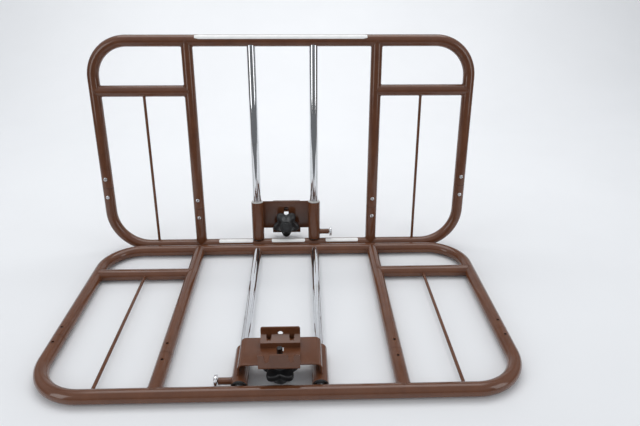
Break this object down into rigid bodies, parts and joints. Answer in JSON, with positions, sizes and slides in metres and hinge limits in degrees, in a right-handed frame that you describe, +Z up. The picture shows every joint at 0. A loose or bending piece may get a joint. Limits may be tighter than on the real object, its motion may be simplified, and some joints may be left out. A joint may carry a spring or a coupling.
{
  "type": "bed guard rail pair",
  "caption": "Pair of half-length tube bed guard rails with a carrier and clamp that slide on chrome posts; one lies flat, its twin stands behind it.",
  "frame": {"origin": "on the floor under the middle of the pair's bounds, between the lying rail and the standing rail", "axes": "+X across both rails, +Y from the lying rail to the standing rail, +Z up"},
  "size_m": [0.8636, 0.6046, 0.5061],
  "materials": {
    "brown_enamel": "glossy brown enamel on steel tube and plate, faint vein texture",
    "chrome": "bright chrome plate",
    "zinc": "bright zinc-plated steel",
    "grey_nylon": "natural grey nylon",
    "black_nylon": "black nylon",
    "black_plastic": "moulded black plastic, fine satin grain"
  },
  "bodies": {
    "flat_frame": {"flat_upper_bow": "brown_enamel", "flat_lower_bow": "brown_enamel", "flat_upper_upright_left": "brown_enamel", "flat_lower_upright_left": "brown_enamel", "flat_cross_bar_left": "brown_enamel", "flat_rod_left": "brown_enamel", "flat_leg_splice_left": "zinc", "flat_upright_splice_left": "zinc", "flat_post_left": "chrome", "flat_upper_upright_right": "brown_enamel", "flat_lower_upright_right": "brown_enamel", "flat_cross_bar_right": "brown_enamel", "flat_rod_right": "brown_enamel", "flat_leg_splice_right": "zinc", "flat_upright_splice_right": "zinc", "flat_post_right": "chrome"},
    "flat_carrier": {"flat_carrier_bridge": "brown_enamel", "flat_latch_housing": "brown_enamel", "flat_latch_spring": "zinc", "flat_fixed_jaw": "brown_enamel", "flat_sleeve_left": "brown_enamel", "flat_upper_bush_left": "grey_nylon", "flat_lower_bush_left": "black_nylon", "flat_sleeve_right": "brown_enamel", "flat_upper_bush_right": "grey_nylon", "flat_lower_bush_right": "black_nylon"},
    "flat_pin": {"flat_latch_pin": "chrome"},
    "flat_clamp": {"flat_sliding_jaw": "brown_enamel", "flat_clamp_bolt": "zinc"},
    "flat_knob": {"flat_clamp_knob": "black_plastic"},
    "standing_frame": {"standing_upper_bow": "brown_enamel", "standing_lower_bow": "brown_enamel", "standing_upper_upright_left": "brown_enamel", "standing_lower_upright_left": "brown_enamel", "standing_cross_bar_left": "brown_enamel", "standing_rod_left": "brown_enamel", "standing_leg_splice_left": "zinc", "standing_upright_splice_left": "zinc", "standing_post_left": "chrome", "standing_upper_upright_right": "brown_enamel", "standing_lower_upright_right": "brown_enamel", "standing_cross_bar_right": "brown_enamel", "standing_rod_right": "brown_enamel", "standing_leg_splice_right": "zinc", "standing_upright_splice_right": "zinc", "standing_post_right": "chrome"},
    "standing_carrier": {"standing_carrier_bridge": "brown_enamel", "standing_latch_housing": "brown_enamel", "standing_latch_spring": "zinc", "standing_fixed_jaw": "brown_enamel", "standing_sleeve_left": "brown_enamel", "standing_upper_bush_left": "grey_nylon", "standing_lower_bush_left": "black_nylon", "standing_sleeve_right": "brown_enamel", "standing_upper_bush_right": "grey_nylon", "standing_lower_bush_right": "black_nylon"},
    "standing_pin": {"standing_latch_pin": "chrome"},
    "standing_clamp": {"standing_sliding_jaw": "brown_enamel", "standing_clamp_bolt": "zinc"},
    "standing_knob": {"standing_clamp_knob": "black_plastic"}
  },
  "joints": [
    {"name": "standing_lift", "type": "slide", "parent": "flat_frame", "child": "standing_frame", "axis": [0, 0, 1], "range_m": [0, 0.3]},
    {"name": "flat_carrier_slide", "type": "slide", "parent": "flat_frame", "child": "flat_carrier", "axis": [0, 1, 0], "range_m": [0, 0.35]},
    {"name": "flat_latch_pull", "type": "slide", "parent": "flat_carrier", "child": "flat_pin", "axis": [-1, 0, 0], "range_m": [0, 0.008], "stiffness_N_per_m": 300, "springref_m": -0.004, "deforming": ["flat_latch_spring"]},
    {"name": "flat_jaw_slide", "type": "slide", "parent": "flat_carrier", "child": "flat_clamp", "axis": [0, 1, 0], "range_m": [0, 0.013]},
    {"name": "flat_knob_turn", "type": "hinge", "parent": "flat_clamp", "child": "flat_knob", "pos_m": [0, -0.24329, 0.014], "axis": [0, 0, -1], "continuous": true},
    {"name": "standing_carrier_slide", "type": "slide", "parent": "standing_frame", "child": "standing_carrier", "axis": [0, 0.0941, 0.9956], "range_m": [0, 0.35]},
    {"name": "standing_latch_pull", "type": "slide", "parent": "standing_carrier", "child": "standing_pin", "axis": [1, 0, 0], "range_m": [0, 0.008], "stiffness_N_per_m": 300, "springref_m": -0.004, "deforming": ["standing_latch_spring"]},
    {"name": "standing_jaw_slide", "type": "slide", "parent": "standing_carrier", "child": "standing_clamp", "axis": [0, 0.0941, 0.9956], "range_m": [0, 0.013]},
    {"name": "standing_knob_turn", "type": "hinge", "parent": "standing_clamp", "child": "standing_knob", "pos_m": [0, 0.23037, 0.0588], "axis": [0, -0.9956, 0.0941], "continuous": true}
  ]
}
